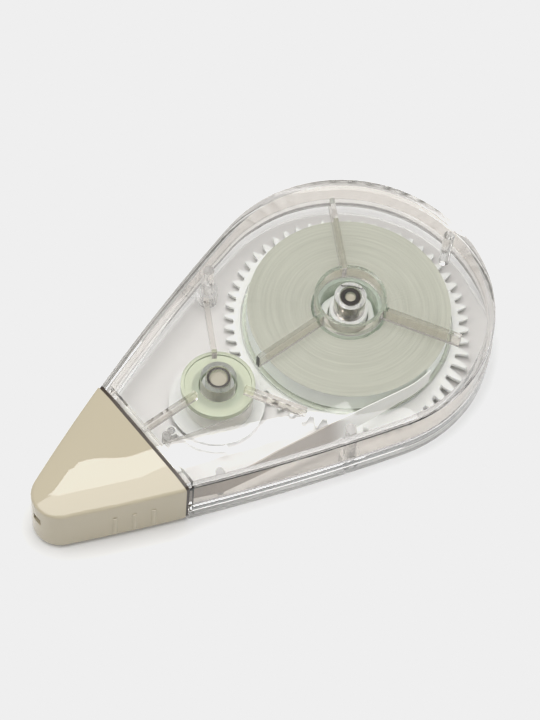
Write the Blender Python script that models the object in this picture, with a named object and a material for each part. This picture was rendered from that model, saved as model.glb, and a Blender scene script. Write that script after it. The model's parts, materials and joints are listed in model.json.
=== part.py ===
"""Correction tape lying flat: a clear teardrop case, a geared tape roll and spool, and a pull-off cap.

The frame has +X along the case towards its round end, the nose at -X and +Z up through the flat top.
The origin is under the middle of the case, on the surface that it lies on.
"""

import math

import bmesh
import bpy
from mathutils import Vector

MM = 0.001
TURN = 2.0 * math.pi

# Clearances
GAP = 0.25 * MM
PARTING_GAP = 0.3 * MM
CAP_GAP = 0.3 * MM

# Tape and its roll
TAPE_WIDTH = 5.0 * MM
STRIP_THICKNESS = 0.3 * MM
STRIP_CLEARANCE = 0.45 * MM
COIL_RADIUS = 20.5 * MM
CORE_RADIUS = 7.2 * MM
CORE_WALL = 1.4 * MM
CORE_RISE = 0.6 * MM
CORE_FLANGE_OVERHANG = 0.6 * MM
CORE_FLANGE_THICKNESS = 0.35 * MM

# Wound layers that show: the edges of the roll's layers, and the first used turns on the spool
WINDING_TURNS = 22
WINDING_STRIP = 0.14 * MM
WINDING_HEIGHT = 0.2 * MM
WINDING_GAP = 0.1 * MM
USED_TURNS = 1.5
USED_TURN_GAP = 0.45 * MM

# Gears
GEAR_MODULE = 0.85 * MM
SUPPLY_TEETH = 56
TAKEUP_TEETH = 20
PRESSURE_ANGLE = math.radians(20.0)
BACKLASH = 0.16 * MM
ADDENDUM = 1.0
DEDENDUM = 1.2
GEAR_THICKNESS = 0.8 * MM
GEAR_WEB_THICKNESS = 0.4 * MM
SHROUD_LIFT = 0.2 * MM
SHROUD_THICKNESS = 0.3 * MM
SHROUD_OVERHANG = 0.15 * MM
SHROUD_NECK_INSET = 0.3 * MM
FLANK_POINTS = 3

# Hub pins and bosses
SUPPLY_PIN_RADIUS = 2.0 * MM
TAKEUP_PIN_RADIUS = 2.3 * MM
SUPPLY_PIN_BORE_SHARE = 0.55
TAKEUP_PIN_BORE_SHARE = 0.8
TAKEUP_HUB_WALL = 0.7 * MM
BOSS_WALL = 0.95 * MM
SUPPLY_HUB_DROP = 0.5 * MM
BOSS_DROP = 0.3 * MM
RING_RIB_WALL = 0.7 * MM

# Take-up spool
SPOOL_WALL = 1.2 * MM
SPOOL_DISC_RADIUS = 7.3 * MM
SPOOL_DISC_THICKNESS = 1.0 * MM
SPOOL_RIM_HEIGHT = 0.5 * MM
SPOOL_RIM_WALL = 0.7 * MM

# Clutch ring
CLUTCH_WALL = 1.45 * MM
CLUTCH_LOBES = 6
CLUTCH_LOBE_DEPTH = 0.4 * MM
CLUTCH_HEIGHT = 3.2 * MM

# Case outline: a round end and a nose joined by long side arcs
BIG_END_CLEARANCE = 3.4 * MM
WALL = 1.6 * MM
NOSE_RADIUS = 5.4 * MM
CENTRE_DISTANCE = 70.4 * MM
SIDE_RADIUS = 460.0 * MM
REEL_OFFSET_X = 1.35 * MM
REEL_OFFSET_Y = 0.85 * MM
TAKEUP_BEARING = math.radians(178.1)

# Case heights
FLOOR = 0.7 * MM
HEADROOM = 4.35 * MM
TOP_WALL = 1.4 * MM
PARTING_HEIGHT = 3.3 * MM
BAND_HEIGHT = 2.3 * MM
BAND_STEP = 0.35 * MM
LIP_HEIGHT = 1.2 * MM
LIP_WALL = 0.65 * MM
EDGE_RADIUS = 0.7 * MM
TOP_CROWN = 0.5 * MM
CROWN_INSET = 4.6 * MM

# Ribs under the top
RIB_THICKNESS = 1.0 * MM
RIB_ROOT = 0.5 * MM
RIB_ANGLES = (60.0, 180.0, 300.0)
SUPPLY_RIB_REACH = 23.3 * MM
TAKEUP_RIB_START = 5.5 * MM
TAKEUP_RIB_REACH = 18.3 * MM

# Snap posts
SNAP_POST_RADIUS = 1.1 * MM
SNAP_SOCKET_WALL = 0.7 * MM
SNAP_SIDE_X = 5.6 * MM
SNAP_WALL_OVERLAP = 0.3 * MM

# Mouth, cap and tip
SPLIT_X = -27.5 * MM
SPLIT_GAP = 0.7 * MM
CAP_WALL = 1.3 * MM
CAP_FLOOR = 0.7 * MM
COLLAR_LENGTH = 3.0 * MM
COLLAR_WALL = 1.0 * MM
CAP_GRIP_COUNT = 3
CAP_GRIP_PITCH = 3.5 * MM
CAP_GRIP_RADIUS = 0.6 * MM
CAP_GRIP_HEIGHT = 5.8 * MM
CAP_GRIP_MIDDLE = 5.1 * MM
CAP_GRIP_PROUD = 0.3 * MM
CAP_GRIP_FIRST = 5.95 * MM
CAP_NOTCH_WIDTH = 2.2 * MM
CAP_NOTCH_HEIGHT = 2.2 * MM
CAP_NOTCH_MIDDLE = 8.0 * MM
CAP_BOTTOM_RADIUS = 1.5 * MM
CARRIER_PLATE = 0.8 * MM
CARRIER_TAIL = 3.0 * MM
CARRIER_TAIL_HALF_WIDTH = 9.2 * MM
CARRIER_NOSE_HALF_WIDTH = 2.9 * MM
CARRIER_SPINE = 1.4 * MM
CARRIER_SPINE_SETBACK = 9.0 * MM
CARRIER_NOSE_X = -44.5 * MM
TIP_EDGE_X = -49.3 * MM
TIP_ROOT_THICKNESS = 1.6 * MM
TIP_EDGE_THICKNESS = 0.5 * MM
TIP_STEM = 3.0 * MM

# Pawl
PAWL_WIDTH = 0.8 * MM
PAWL_START = math.radians(178.0)
PAWL_SWEEP = math.radians(66.0)
PAWL_BOSS_RADIUS = 1.1 * MM
PAWL_PIN_RADIUS = 0.55 * MM
PAWL_TOOTH = 0.25 * MM
PAWL_TOOTH_SWEEP = math.radians(5.0)

# Tape guide posts on the floor
GUIDE_POST_RADIUS = 0.9 * MM
FEED_GUIDE = Vector((-18.5 * MM, -12.3 * MM))
RETURN_GUIDE_X = -22.5 * MM
COIL_WRAP = math.radians(20.0)
SPOOL_WRAP = math.radians(50.0)

# Facets
BIG_ARC_STEPS = 44
SIDE_STEPS = 7
NOSE_STEPS = 14
ROUND_STEPS = 32
SMALL_STEPS = 16
COIL_STEPS = 72
WRAP_STEPS = 10
POST_WRAP_STEPS = 4
SPIRAL_STEPS = 24
PAWL_STEPS = 30
TIP_STEPS = 6
EDGE_STEPS = 3
CROWN_STEPS = 4
SLAB_STEPS = 3
SHARP_ANGLE = math.radians(35.0)

# Sizes that follow from the ones above
SUPPLY_PITCH = GEAR_MODULE * SUPPLY_TEETH / 2.0
TAKEUP_PITCH = GEAR_MODULE * TAKEUP_TEETH / 2.0
SUPPLY_TIP = SUPPLY_PITCH + ADDENDUM * GEAR_MODULE
TAKEUP_TIP = TAKEUP_PITCH + ADDENDUM * GEAR_MODULE
BIG_END_RADIUS = SUPPLY_TIP + BIG_END_CLEARANCE + WALL
CASE_LENGTH = BIG_END_RADIUS + CENTRE_DISTANCE + NOSE_RADIUS
BIG_X = CASE_LENGTH / 2.0 - BIG_END_RADIUS
NOSE_X = BIG_X - CENTRE_DISTANCE
SUPPLY_AXIS = Vector((BIG_X + REEL_OFFSET_X, REEL_OFFSET_Y, 0.0))
AXIS_DISTANCE = SUPPLY_PITCH + TAKEUP_PITCH
TAKEUP_DIRECTION = Vector((math.cos(TAKEUP_BEARING), math.sin(TAKEUP_BEARING), 0.0))
TAKEUP_AXIS = SUPPLY_AXIS + AXIS_DISTANCE * TAKEUP_DIRECTION

GEAR_BOTTOM = FLOOR + GAP
GEAR_TOP = GEAR_BOTTOM + GEAR_THICKNESS
FLANGE_RADIUS = COIL_RADIUS + CORE_FLANGE_OVERHANG
WEB_TOP = GEAR_BOTTOM + GEAR_WEB_THICKNESS
FLANGE_BOTTOM = WEB_TOP + GAP
FLANGE_TOP = FLANGE_BOTTOM + CORE_FLANGE_THICKNESS
SHROUD_BOTTOM = GEAR_TOP + SHROUD_LIFT
SHROUD_TOP = SHROUD_BOTTOM + SHROUD_THICKNESS
SHROUD_RADIUS = TAKEUP_TIP + SHROUD_OVERHANG
SHROUD_NECK = TAKEUP_PITCH - DEDENDUM * GEAR_MODULE - SHROUD_NECK_INSET
TAPE_BOTTOM = max(FLANGE_TOP, SHROUD_TOP) + GAP
TAPE_TOP = TAPE_BOTTOM + TAPE_WIDTH
WINDING_BOTTOM = TAPE_TOP - WINDING_HEIGHT
COIL_TOP = WINDING_BOTTOM - WINDING_GAP
PLATE_UNDERSIDE = TAPE_TOP + HEADROOM
CASE_HEIGHT = PLATE_UNDERSIDE + TOP_WALL
CLUTCH_RADIUS = CORE_RADIUS - CORE_WALL - GAP
SUPPLY_HUB_RADIUS = CLUTCH_RADIUS - CLUTCH_WALL - GAP
SUPPLY_HUB_TOP = TAPE_TOP - SUPPLY_HUB_DROP
CORE_TOP = TAPE_TOP + CORE_RISE
TAKEUP_HUB_RADIUS = TAKEUP_PIN_RADIUS + GAP + TAKEUP_HUB_WALL
TAKEUP_HUB_TOP = TAPE_TOP - SUPPLY_HUB_DROP
TAKEUP_BOSS_RADIUS = TAKEUP_PIN_RADIUS + GAP + BOSS_WALL
SPOOL_BORE = max(TAKEUP_HUB_RADIUS, TAKEUP_BOSS_RADIUS) + GAP
SPOOL_RADIUS = SPOOL_BORE + SPOOL_WALL
DISC_BOTTOM = TAPE_TOP + GAP
DISC_TOP = DISC_BOTTOM + SPOOL_DISC_THICKNESS
SPOOL_TOP = DISC_TOP + SPOOL_RIM_HEIGHT
USED_COIL_INNER = SPOOL_RADIUS + GAP
USED_COIL_RADIUS = USED_COIL_INNER + STRIP_THICKNESS + USED_TURNS * (STRIP_THICKNESS + USED_TURN_GAP)
BODY_FRONT = SPLIT_X + SPLIT_GAP / 2.0
CAP_BACK = SPLIT_X - SPLIT_GAP / 2.0
LIP_INSET = WALL - LIP_WALL
COLLAR_INSET = CAP_WALL + CAP_GAP
COLLAR_FRONT = CAP_BACK - COLLAR_LENGTH
COLLAR_BOTTOM = CAP_FLOOR + CAP_GAP
COLLAR_TOP = CASE_HEIGHT - EDGE_RADIUS - TOP_CROWN - CAP_WALL
CARRIER_BOTTOM = max(FLOOR, CAP_FLOOR) + GAP
CARRIER_LOW = TAPE_BOTTOM - GAP
CARRIER_HIGH = TAPE_TOP + GAP
CARRIER_TOP = CARRIER_HIGH + CARRIER_PLATE
CARRIER_BACK = BODY_FRONT + CARRIER_TAIL
SPINE_BACK = CARRIER_BACK - CARRIER_SPINE_SETBACK
TIP_SIDE_RUN = max(TIP_ROOT_THICKNESS, CARRIER_SPINE) / 2.0 + GAP + STRIP_THICKNESS / 2.0
STRIP_HALF = STRIP_THICKNESS / 2.0
FEED_GUIDE_REACH = GUIDE_POST_RADIUS + GAP + STRIP_HALF


def clear_scene():
    """Empty the scene of every object."""
    for old in list(bpy.data.objects):
        bpy.data.objects.remove(old, do_unlink=True)


def make_material(name, colour, roughness, alpha=1.0):
    """A plain plastic of one colour."""
    material = bpy.data.materials.new(name)
    material.use_nodes = True
    shader = material.node_tree.nodes["Principled BSDF"]
    shader.inputs["Base Color"].default_value = (*colour, 1.0)
    shader.inputs["Roughness"].default_value = roughness
    shader.inputs["Metallic"].default_value = 0.0
    shader.inputs["Alpha"].default_value = alpha
    return material


def mesh_object(name, build):
    """A new object whose mesh is filled by build(bm)."""
    bm = bmesh.new()
    build(bm)
    bmesh.ops.recalc_face_normals(bm, faces=bm.faces)
    mesh = bpy.data.meshes.new(name)
    bm.to_mesh(mesh)
    bm.free()
    obj = bpy.data.objects.new(name, mesh)
    bpy.context.scene.collection.objects.link(obj)
    return obj


def combine(target, tools, operation):
    """Join tools to target, or cut them from it, and drop them."""
    for tool in tools:
        modifier = target.modifiers.new("combine", "BOOLEAN")
        modifier.operation = operation
        modifier.solver = "EXACT"
        modifier.object = tool
        with bpy.context.temp_override(object=target, active_object=target):
            bpy.ops.object.modifier_apply(modifier=modifier.name)
        bpy.data.objects.remove(tool, do_unlink=True)
    return target


def finish(obj, material, pivot=None):
    """Give a piece its material and shading, and put its origin on its joint's axis."""
    obj.data.materials.clear()
    obj.data.materials.append(material)
    for polygon in obj.data.polygons:
        polygon.material_index = 0
    obj.data.shade_smooth()
    obj.data.set_sharp_from_angle(angle=SHARP_ANGLE)
    if pivot is not None:
        for vertex in obj.data.vertices:
            vertex.co -= pivot
        obj.location = pivot
    return obj


def add_loft(bm, rings):
    """Close a stack of equal rings into one solid, from the first ring to the last."""
    loops = [[bm.verts.new(point) for point in ring] for ring in rings]
    count = len(loops[0])
    for lower, upper in zip(loops, loops[1:]):
        for i in range(count):
            j = (i + 1) % count
            bm.faces.new((lower[i], lower[j], upper[j], upper[i]))
    bm.faces.new(list(reversed(loops[0])))
    bm.faces.new(loops[-1])


def add_ring_loft(bm, rings):
    """Close a stack of equal rings into one band whose last ring meets its first."""
    loops = [[bm.verts.new(point) for point in ring] for ring in rings]
    count = len(loops[0])
    for lower, upper in zip(loops, loops[1:] + loops[:1]):
        for i in range(count):
            j = (i + 1) % count
            bm.faces.new((lower[i], lower[j], upper[j], upper[i]))


def loft(name, rings):
    return mesh_object(name, lambda bm: add_loft(bm, rings))


def at_height(outline, z):
    return [Vector((point[0], point[1], z)) for point in outline]


def prism(name, outline, z_low, z_high):
    return loft(name, [at_height(outline, z_low), at_height(outline, z_high)])


def circle(centre, radius, steps=ROUND_STEPS):
    return [
        (centre[0] + radius * math.cos(TURN * i / steps), centre[1] + radius * math.sin(TURN * i / steps))
        for i in range(steps)
    ]


def cylinder(name, centre, radius, z_low, z_high, steps=ROUND_STEPS):
    return prism(name, circle(centre, radius, steps), z_low, z_high)


def turned(name, centre, profile, steps=ROUND_STEPS):
    """A ring turned about a vertical axis from a closed profile of (radius, height) points."""
    rings = [at_height(circle(centre, radius, steps), z) for radius, z in profile]
    return mesh_object(name, lambda bm: add_ring_loft(bm, rings))


def tube(name, centre, inner, outer, z_low, z_high, steps=ROUND_STEPS):
    return turned(name, centre, [(outer, z_low), (outer, z_high), (inner, z_high), (inner, z_low)], steps)


def bar(name, start, end, width, z_low, z_high):
    """A straight upright bar between two points on the plan."""
    along = (Vector(end) - Vector(start)).normalized()
    side = Vector((-along.y, along.x)) * width / 2.0
    corners = [Vector(start) - side, Vector(end) - side, Vector(end) + side, Vector(start) + side]
    return prism(name, corners, z_low, z_high)


def strip(name, path, thickness, z_low, z_high):
    """An upright strip of even thickness along a path on the plan."""
    sections = []
    for i, point in enumerate(path):
        before = path[max(i - 1, 0)]
        after = path[min(i + 1, len(path) - 1)]
        along = (after - before).normalized()
        side = Vector((-along.y, along.x)) * thickness / 2.0
        faces = (point - side, point + side)
        sections.append(at_height(faces, z_low) + at_height(faces[::-1], z_high))
    return loft(name, sections)


def arc_points(centre, radius, start, sweep, steps):
    return [
        Vector((centre[0] + radius * math.cos(start + sweep * i / steps),
                centre[1] + radius * math.sin(start + sweep * i / steps)))
        for i in range(steps + 1)
    ]


def spiral_points(centre, start_radius, end_radius, start, turns):
    """Points along a flat spiral whose radius changes evenly. Negative turns run clockwise."""
    steps = round(abs(turns) * SPIRAL_STEPS)
    points = []
    for i in range(steps + 1):
        radius = start_radius + (end_radius - start_radius) * i / steps
        angle = start + TURN * turns * i / steps
        points.append(Vector((centre[0] + radius * math.cos(angle), centre[1] + radius * math.sin(angle))))
    return points


def least_gap(path, thickness):
    """The least clear distance of a winding to itself, between points over half a turn apart."""
    apart = SPIRAL_STEPS // 2
    return min((b - a).length for i, a in enumerate(path) for b in path[i + apart:]) - thickness


class CaseOutline:
    """The teardrop plan of the case, drawn in from its widest line by an inset."""

    def __init__(self):
        to_big = SIDE_RADIUS - BIG_END_RADIUS
        to_nose = SIDE_RADIUS - NOSE_RADIUS
        from_nose = (to_nose ** 2 - to_big ** 2 + CENTRE_DISTANCE ** 2) / (2.0 * CENTRE_DISTANCE)
        self.side_x = NOSE_X + from_nose
        self.side_y = -math.sqrt(to_nose ** 2 - from_nose ** 2)
        self.big_angle = math.atan2(-self.side_y, BIG_X - self.side_x)
        self.nose_angle = math.atan2(-self.side_y, NOSE_X - self.side_x)

    def side_point(self, angle, inset):
        radius = SIDE_RADIUS - inset
        return Vector((self.side_x + radius * math.cos(angle), self.side_y + radius * math.sin(angle)))

    def cut_angle(self, x, inset):
        return math.acos((x - self.side_x) / (SIDE_RADIUS - inset))

    def half_width(self, x, inset=0.0):
        return self.side_point(self.cut_angle(x, inset), inset).y

    def side_run(self, start, end, inset):
        return [self.side_point(start + (end - start) * i / SIDE_STEPS, inset) for i in range(SIDE_STEPS)]

    def body(self, inset, front):
        """The round end of the case, cut off square at its front."""
        upper = self.side_run(self.cut_angle(front, inset), self.big_angle, inset)
        sweep = -2.0 * self.big_angle
        round_end = arc_points((BIG_X, 0.0), BIG_END_RADIUS - inset, self.big_angle, sweep, BIG_ARC_STEPS)
        lower = [Vector((point.x, -point.y)) for point in reversed(upper)]
        return (upper + round_end + lower)[::-1]

    def nose(self, inset, back):
        """The nose of the case, cut off square at its back."""
        upper = self.side_run(self.cut_angle(back, inset), self.nose_angle, inset)
        sweep = 2.0 * (math.pi - self.nose_angle)
        tip = arc_points((NOSE_X, 0.0), NOSE_RADIUS - inset, self.nose_angle, sweep, NOSE_STEPS)
        lower = [Vector((point.x, -point.y)) for point in reversed(upper)]
        return upper + tip + lower

    def slab(self, inset, front, back):
        """A short length of the case between two square cuts."""
        start = self.cut_angle(front, inset)
        step = (self.cut_angle(back, inset) - start) / SLAB_STEPS
        upper = [self.side_point(start + step * i, inset) for i in range(SLAB_STEPS + 1)]
        lower = [Vector((point.x, -point.y)) for point in reversed(upper)]
        return (upper + lower)[::-1]


OUTLINE = CaseOutline()


def edge_profile():
    """Insets and heights up the rounded top edge and over the shallow crown."""
    shoulder = CASE_HEIGHT - TOP_CROWN - EDGE_RADIUS
    profile = []
    for step in range(EDGE_STEPS + 1):
        angle = math.pi / 2.0 * step / EDGE_STEPS
        profile.append((EDGE_RADIUS * (1.0 - math.cos(angle)), shoulder + EDGE_RADIUS * math.sin(angle)))
    for step in range(1, CROWN_STEPS + 1):
        share = step / CROWN_STEPS
        inset = EDGE_RADIUS + (CROWN_INSET - EDGE_RADIUS) * share
        profile.append((inset, CASE_HEIGHT - TOP_CROWN * (1.0 - share) ** 2))
    return profile


def bottom_edge_profile(radius):
    """Insets and heights round a bottom edge."""
    profile = []
    for step in range(EDGE_STEPS + 1):
        angle = math.pi / 2.0 * step / EDGE_STEPS
        profile.append((radius * (1.0 - math.sin(angle)), radius * (1.0 - math.cos(angle))))
    return profile


def snap_points():
    """Where the two snap posts stand, one at each side wall."""
    reach = WALL - SNAP_WALL_OVERLAP + SNAP_POST_RADIUS + GAP + SNAP_SOCKET_WALL
    side = OUTLINE.half_width(SNAP_SIDE_X, reach)
    return [Vector((SNAP_SIDE_X, side)), Vector((SNAP_SIDE_X, -side))]


def end_post_point():
    """Where the locating post stands, inside the round end and over the large gear's teeth."""
    return Vector((BIG_X + BIG_END_RADIUS - WALL - BAND_STEP - GAP - SNAP_POST_RADIUS, 0.0))


def touch_angle(start, start_radius, end, end_radius):
    """Bearing of the points where a straight run touches the near sides of two circles."""
    away = end - start
    return math.atan2(away.y, away.x) + math.acos((start_radius - end_radius) / away.length)


def feed_leave():
    """Bearing on the roll where the fresh tape leaves it."""
    roll = COIL_RADIUS + STRIP_CLEARANCE + STRIP_HALF
    return touch_angle(SUPPLY_AXIS.to_2d(), roll, FEED_GUIDE, FEED_GUIDE_REACH)


def feed_line():
    """The fresh tape's plan path: part way round the roll, past its guide post and on to the tip."""
    roll = COIL_RADIUS + STRIP_CLEARANCE + STRIP_HALF
    target = Vector((TIP_EDGE_X + TIP_STEM, -TIP_SIDE_RUN))
    leave = feed_leave()
    turn = math.remainder(touch_angle(FEED_GUIDE, FEED_GUIDE_REACH, target, 0.0) - leave, TURN)
    path = arc_points(SUPPLY_AXIS, roll, leave + COIL_WRAP, -COIL_WRAP, WRAP_STEPS)
    path += arc_points(FEED_GUIDE, FEED_GUIDE_REACH, leave, turn, POST_WRAP_STEPS)
    return path + [target]


def tip_turn():
    """The tape's short turn round the tip's edge, from its near side to its far side."""
    edge = TIP_EDGE_THICKNESS / 2.0 + GAP + STRIP_HALF
    turn = arc_points((TIP_EDGE_X, 0.0), edge, -math.pi / 2.0, -math.pi, TIP_STEPS)
    return turn + [Vector((TIP_EDGE_X + TIP_STEM, TIP_SIDE_RUN))]


def return_arrive():
    """Bearing on the take-up spool where the used carrier meets it."""
    radius = USED_COIL_RADIUS + STRIP_CLEARANCE + STRIP_HALF
    return touch_angle(TAKEUP_AXIS.to_2d(), radius, Vector((SPINE_BACK, TIP_SIDE_RUN)), 0.0)


def return_line():
    """The used carrier's plan path: along the spine's far side, then to the take-up spool."""
    radius = USED_COIL_RADIUS + STRIP_CLEARANCE + STRIP_HALF
    start = Vector((TIP_EDGE_X + TIP_STEM + GAP, TIP_SIDE_RUN))
    bend = Vector((SPINE_BACK, TIP_SIDE_RUN))
    return [start, bend] + arc_points(TAKEUP_AXIS, radius, return_arrive(), SPOOL_WRAP, WRAP_STEPS)


def involute_angle(radius, base):
    """Polar angle along an involute from its start on the base circle."""
    roll = math.sqrt(max(radius * radius / (base * base) - 1.0, 0.0))
    return roll - math.atan(roll)


def gear_outline(centre, teeth, phase):
    """A spur gear's plan, with the middle of one tooth at the phase angle."""
    pitch = GEAR_MODULE * teeth / 2.0
    base = pitch * math.cos(PRESSURE_ANGLE)
    tip = pitch + ADDENDUM * GEAR_MODULE
    root = pitch - DEDENDUM * GEAR_MODULE
    start = max(base, root)
    half_at_pitch = (math.pi * GEAR_MODULE / 2.0 - BACKLASH) / 2.0 / pitch
    radii = [start + (tip - start) * i / FLANK_POINTS for i in range(FLANK_POINTS + 1)]
    pitch_angle = involute_angle(pitch, base)
    flank = [(radius, half_at_pitch + pitch_angle - involute_angle(radius, base)) for radius in radii]
    if root < start:
        flank.insert(0, (root, flank[0][1]))
    points = []
    for tooth in range(teeth):
        middle = phase + TURN * tooth / teeth
        sides = [(radius, -angle) for radius, angle in flank] + list(reversed(flank))
        for radius, angle in sides:
            bearing = middle + angle
            points.append((centre[0] + radius * math.cos(bearing), centre[1] + radius * math.sin(bearing)))
    return points


def radial_rib(name, centre, angle, start, reach, z_low, z_high):
    direction = Vector((math.cos(angle), math.sin(angle)))
    middle = Vector((centre[0], centre[1]))
    return bar(name, middle + direction * start, middle + direction * reach, RIB_THICKNESS, z_low, z_high)


def make_lower_shell(material):
    """Floor, wall and lip of the lower half, with its pins, sockets, guide posts and half collar."""
    front = BODY_FRONT
    wall_top = PARTING_HEIGHT
    lip_top = PARTING_HEIGHT + LIP_HEIGHT
    rings = [at_height(OUTLINE.body(inset, front), z) for inset, z in bottom_edge_profile(EDGE_RADIUS)]
    rings.append(at_height(OUTLINE.body(0.0, front), wall_top))
    rings.append(at_height(OUTLINE.body(LIP_INSET, front + LIP_INSET), wall_top))
    rings.append(at_height(OUTLINE.body(LIP_INSET, front + LIP_INSET), lip_top))
    shell = loft("lower_shell", rings)
    cavity = prism("cavity", OUTLINE.body(WALL, front + WALL), FLOOR, lip_top + WALL)
    combine(shell, [cavity], "DIFFERENCE")

    collar_plan = OUTLINE.slab(COLLAR_INSET, COLLAR_FRONT, front + WALL / 2.0)
    collar = prism("collar", collar_plan, COLLAR_BOTTOM, wall_top)
    mouth_plan = OUTLINE.slab(COLLAR_INSET + COLLAR_WALL, COLLAR_FRONT - WALL, front + 2.0 * WALL)
    mouth = prism("mouth", mouth_plan, FLOOR, lip_top + WALL)
    combine(shell, [collar], "UNION")
    combine(shell, [mouth], "DIFFERENCE")

    pins = []
    for axis, radius in ((SUPPLY_AXIS, SUPPLY_PIN_RADIUS), (TAKEUP_AXIS, TAKEUP_PIN_RADIUS)):
        top = PLATE_UNDERSIDE - GAP
        pins.append(cylinder("pin", axis, radius, FLOOR / 2.0, top))
    for point in snap_points():
        radius = SNAP_POST_RADIUS + GAP + SNAP_SOCKET_WALL
        pins.append(cylinder("socket", point, radius, FLOOR / 2.0, lip_top, SMALL_STEPS))
    for point in guide_posts():
        pins.append(cylinder("guide", point, GUIDE_POST_RADIUS, FLOOR / 2.0, TAPE_TOP, SMALL_STEPS))
    pins.append(cylinder("pawl_pin", pawl_pivot(), PAWL_PIN_RADIUS, FLOOR / 2.0, GEAR_TOP, SMALL_STEPS))
    combine(shell, pins, "UNION")

    bores = []
    supply_bore = SUPPLY_PIN_RADIUS * SUPPLY_PIN_BORE_SHARE
    takeup_bore = TAKEUP_PIN_RADIUS * TAKEUP_PIN_BORE_SHARE
    for axis, radius in ((SUPPLY_AXIS, supply_bore), (TAKEUP_AXIS, takeup_bore)):
        bores.append(cylinder("bore", axis, radius, GEAR_TOP, CASE_HEIGHT))
    for point in snap_points():
        bores.append(cylinder("bore", point, SNAP_POST_RADIUS + GAP, FLOOR, CASE_HEIGHT, SMALL_STEPS))
    combine(shell, bores, "DIFFERENCE")
    return finish(shell, material)


def make_upper_shell(material):
    """Top, wall and band of the upper half, with its bosses, ribs, snap posts and half collar."""
    front = BODY_FRONT
    base = PARTING_HEIGHT + PARTING_GAP
    band_top = PARTING_HEIGHT + BAND_HEIGHT
    profile = [(0.0, base), (0.0, band_top), (BAND_STEP, band_top + BAND_STEP)]
    profile += [(BAND_STEP + inset, z) for inset, z in edge_profile()]
    shell = loft("upper_shell", [at_height(OUTLINE.body(inset, front), z) for inset, z in profile])
    inner = WALL + BAND_STEP
    cavity = prism("cavity", OUTLINE.body(inner, front + WALL), base - WALL, PLATE_UNDERSIDE)
    lip_room = LIP_INSET - GAP
    lip_top = PARTING_HEIGHT + LIP_HEIGHT + GAP
    rebate = prism("rebate", OUTLINE.body(lip_room, front + lip_room), base - WALL, lip_top)
    combine(shell, [cavity, rebate], "DIFFERENCE")

    collar_plan = OUTLINE.slab(COLLAR_INSET, COLLAR_FRONT, front + WALL / 2.0)
    collar = prism("collar", collar_plan, lip_top, COLLAR_TOP)
    mouth_plan = OUTLINE.slab(COLLAR_INSET + COLLAR_WALL, COLLAR_FRONT - WALL, front + 2.0 * WALL)
    mouth = prism("mouth", mouth_plan, base - WALL, COLLAR_TOP - COLLAR_WALL)
    combine(shell, [collar], "UNION")
    combine(shell, [mouth], "DIFFERENCE")

    root = PLATE_UNDERSIDE + RIB_ROOT
    supply_rib_low = CORE_TOP + GAP
    takeup_rib_low = SPOOL_TOP + GAP
    ring_radius = CORE_RADIUS
    ribs = []
    for degrees in RIB_ANGLES:
        angle = math.radians(degrees)
        start = ring_radius - RING_RIB_WALL / 2.0
        ribs.append(radial_rib("rib", SUPPLY_AXIS, angle, start, SUPPLY_RIB_REACH, supply_rib_low, root))
        start = TAKEUP_RIB_START
        ribs.append(radial_rib("rib", TAKEUP_AXIS, angle, start, TAKEUP_RIB_REACH, takeup_rib_low, root))
    limit_plan = OUTLINE.body(inner - WALL / 2.0, front + WALL / 2.0)
    for rib in ribs:
        limit = prism("limit", limit_plan, base, CASE_HEIGHT)
        combine(rib, [limit], "INTERSECT")
    ribs.append(tube("ring_rib", SUPPLY_AXIS, ring_radius - RING_RIB_WALL, ring_radius, supply_rib_low, root))
    combine(shell, ribs, "UNION")

    bosses = []
    boss_radius = SUPPLY_PIN_RADIUS + GAP + BOSS_WALL
    boss_low = SUPPLY_HUB_TOP + BOSS_DROP
    bosses.append(tube("boss", SUPPLY_AXIS, SUPPLY_PIN_RADIUS + GAP, boss_radius, boss_low, root))
    boss_low = TAKEUP_HUB_TOP + BOSS_DROP
    bosses.append(tube("boss", TAKEUP_AXIS, TAKEUP_PIN_RADIUS + GAP, TAKEUP_BOSS_RADIUS, boss_low, root))
    for point in snap_points():
        bosses.append(cylinder("post", point, SNAP_POST_RADIUS, FLOOR + GAP, root, SMALL_STEPS))
    end_low = GEAR_TOP + 2.0 * GAP
    bosses.append(cylinder("post", end_post_point(), SNAP_POST_RADIUS, end_low, root, SMALL_STEPS))
    combine(shell, bosses, "UNION")

    pin_room = []
    for axis, radius in ((SUPPLY_AXIS, SUPPLY_PIN_RADIUS), (TAKEUP_AXIS, TAKEUP_PIN_RADIUS)):
        pin_room.append(cylinder("room", axis, radius + GAP, FLOOR, PLATE_UNDERSIDE))
    combine(shell, pin_room, "DIFFERENCE")
    return finish(shell, material)


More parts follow.
